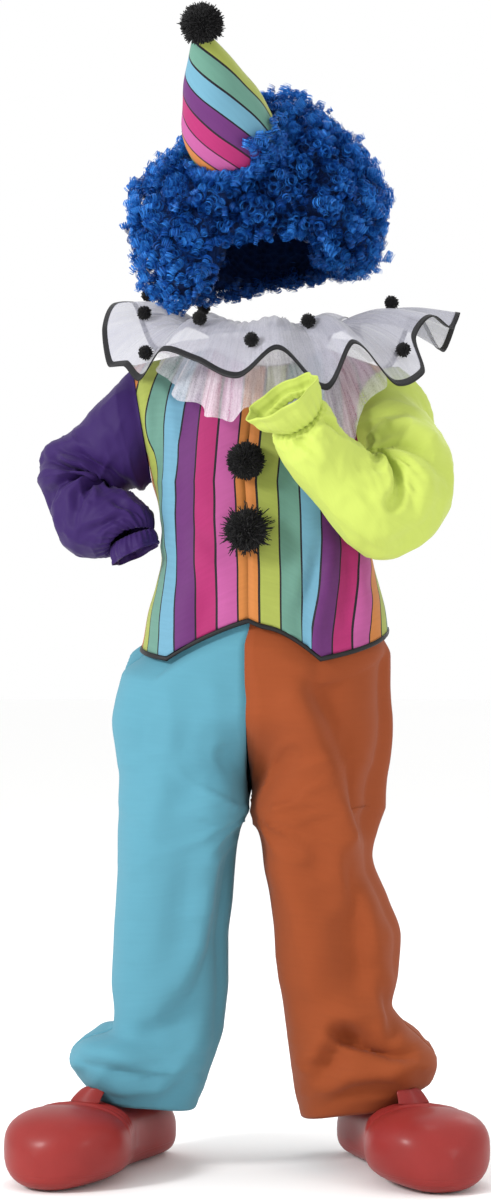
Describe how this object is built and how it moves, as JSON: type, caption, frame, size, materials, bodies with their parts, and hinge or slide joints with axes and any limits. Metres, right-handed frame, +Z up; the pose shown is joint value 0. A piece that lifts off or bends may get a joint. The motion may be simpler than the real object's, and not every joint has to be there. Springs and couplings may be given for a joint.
{
  "type": "clown costume",
  "caption": "Worn child's clown costume: striped and two-colour jumpsuit with frilled cuffs, wavy white ruff, curly blue wig, cone hat with pompom and large red shoes.",
  "frame": {"origin": "middle of the neck opening, on the level of the neckline's sides", "axes": "+Z up along the standing wearer, the wearer faces -Y, +X is the wearer's left"},
  "size_m": [0.5174, 0.4183, 1.2539],
  "materials": {
    "striped_cloth": "smooth polyester, printed vertical stripes",
    "blue_cloth": "smooth brushed polyester",
    "orange_cloth": "smooth brushed polyester",
    "purple_cloth": "satin-like polyester",
    "neon_yellow_cloth": "satin-like polyester",
    "white_tulle": "sheer stiff tulle",
    "black_ribbon": "satin ribbon",
    "black_yarn": "cut yarn",
    "striped_hat_cloth": "printed diagonal stripes on stiffened cloth",
    "blue_curls": "shiny synthetic ringlets",
    "red_vinyl": "moulded glossy vinyl"
  },
  "bodies": {
    "root": {"bodice_back_left": "striped_cloth", "bodice_back_right": "striped_cloth", "bodice_front_left": "striped_cloth", "bodice_front_right": "striped_cloth", "cuff_frill_left": "neon_yellow_cloth", "cuff_frill_right": "purple_cloth", "hat_cone": "striped_hat_cloth", "hem_binding": "black_ribbon", "neckband": "white_tulle", "pompom_front_lower": "black_yarn", "pompom_front_upper": "black_yarn", "pompom_hat": "black_yarn", "ruff_edge": "black_ribbon", "ruff_pompom_1": "black_yarn", "ruff_pompom_10": "black_yarn", "ruff_pompom_11": "black_yarn", "ruff_pompom_12": "black_yarn", "ruff_pompom_2": "black_yarn", "ruff_pompom_3": "black_yarn", "ruff_pompom_4": "black_yarn", "ruff_pompom_5": "black_yarn", "ruff_pompom_6": "black_yarn", "ruff_pompom_7": "black_yarn", "ruff_pompom_8": "black_yarn", "ruff_pompom_9": "black_yarn", "ruff_top": "white_tulle", "ruff_under": "white_tulle", "shoe_left": "red_vinyl", "shoe_left_tongue": "red_vinyl", "shoe_right": "red_vinyl", "shoe_right_tongue": "red_vinyl", "sleeve_left": "neon_yellow_cloth", "sleeve_right": "purple_cloth", "trousers_back_left": "orange_cloth", "trousers_back_right": "blue_cloth", "trousers_front_left": "orange_cloth", "trousers_front_right": "blue_cloth", "wig": "blue_curls"}
  },
  "joints": []
}
